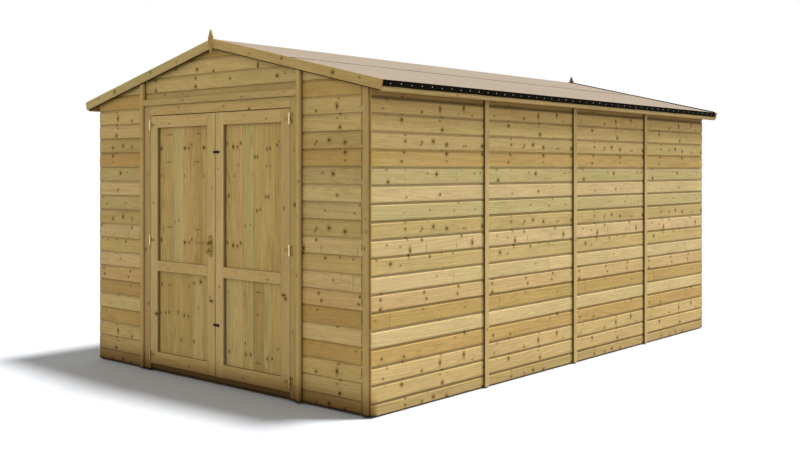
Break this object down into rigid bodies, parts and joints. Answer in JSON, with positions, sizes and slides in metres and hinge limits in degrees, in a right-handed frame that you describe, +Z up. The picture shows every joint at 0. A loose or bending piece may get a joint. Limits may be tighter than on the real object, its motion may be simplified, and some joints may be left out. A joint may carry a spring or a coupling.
{
  "type": "workshop shed",
  "caption": "Timber workshop shed with weatherboarded panel walls, a felted apex roof, kite finials, and framed double doors on brass hinges with a lever handle.",
  "frame": {"origin": "on the ground, in the middle of the floor plan", "axes": "+Z up, -Y out through the doors, +Y along the ridge towards the back, +X to the right seen from the front"},
  "size_m": [3.172, 4.73, 2.4625],
  "materials": {
    "weatherboard": "pressure-treated, planed",
    "frame_timber": "pressure-treated, sawn",
    "floor_timber": "planed boards",
    "trim_timber": "pressure-treated, planed",
    "door_timber": "pressure-treated, planed",
    "roof_felt": "mineral-faced bitumen felt",
    "felt_edge": "bare bitumen felt",
    "brass": "polished",
    "black_iron": "black"
  },
  "bodies": {
    "shed": {"floor_joists": "floor_timber", "floor_boards": "floor_timber", "right_wall": "weatherboard", "left_wall": "weatherboard", "front_wall_left": "weatherboard", "front_wall_right": "weatherboard", "front_gable": "weatherboard", "back_wall": "weatherboard", "right_studs": "frame_timber", "right_rails": "frame_timber", "left_studs": "frame_timber", "left_rails": "frame_timber", "front_studs": "frame_timber", "front_rails": "frame_timber", "back_studs": "frame_timber", "back_rails": "frame_timber", "ridge_board": "frame_timber", "rafters": "frame_timber", "rafter_ties": "frame_timber", "roof_deck_right": "floor_timber", "roof_deck_left": "floor_timber", "right_cover_strips": "trim_timber", "left_cover_strips": "trim_timber", "front_cover_strips": "trim_timber", "back_cover_strips": "trim_timber", "door_head_strip": "trim_timber", "eaves_fascias": "trim_timber", "front_barge_boards": "trim_timber", "back_barge_boards": "trim_timber", "finials": "trim_timber", "door_jambs": "trim_timber", "door_head": "trim_timber", "door_sill": "trim_timber", "eaves_felts": "roof_felt", "ridge_felt": "roof_felt", "eaves_drips": "felt_edge", "jamb_hinges": "brass"},
    "left_door": {"left_door_stiles": "door_timber", "left_door_rails": "door_timber", "left_door_boards": "door_timber", "left_door_hinges": "brass", "lock_plate": "brass", "door_key": "brass", "left_catches": "black_iron"},
    "right_door": {"right_door_stiles": "door_timber", "right_door_rails": "door_timber", "right_door_boards": "door_timber", "right_door_hinges": "brass", "right_catches": "black_iron"},
    "lever": {"door_lever": "brass"}
  },
  "joints": [
    {"name": "left_door_swing", "type": "hinge", "parent": "shed", "child": "left_door", "pos_m": [-0.7605, -2.3225, 0.975], "axis": [0, 0, -1], "range_deg": [0, 170]},
    {"name": "right_door_swing", "type": "hinge", "parent": "shed", "child": "right_door", "pos_m": [0.7605, -2.3225, 0.975], "axis": [0, 0, 1], "range_deg": [0, 170]},
    {"name": "lever_press", "type": "hinge", "parent": "left_door", "child": "lever", "pos_m": [-0.051, -2.326, 0.984], "axis": [0, -1, 0], "range_deg": [0, 40], "stiffness_Nm_per_rad": 1.5, "springref_deg": -17.19}
  ]
}
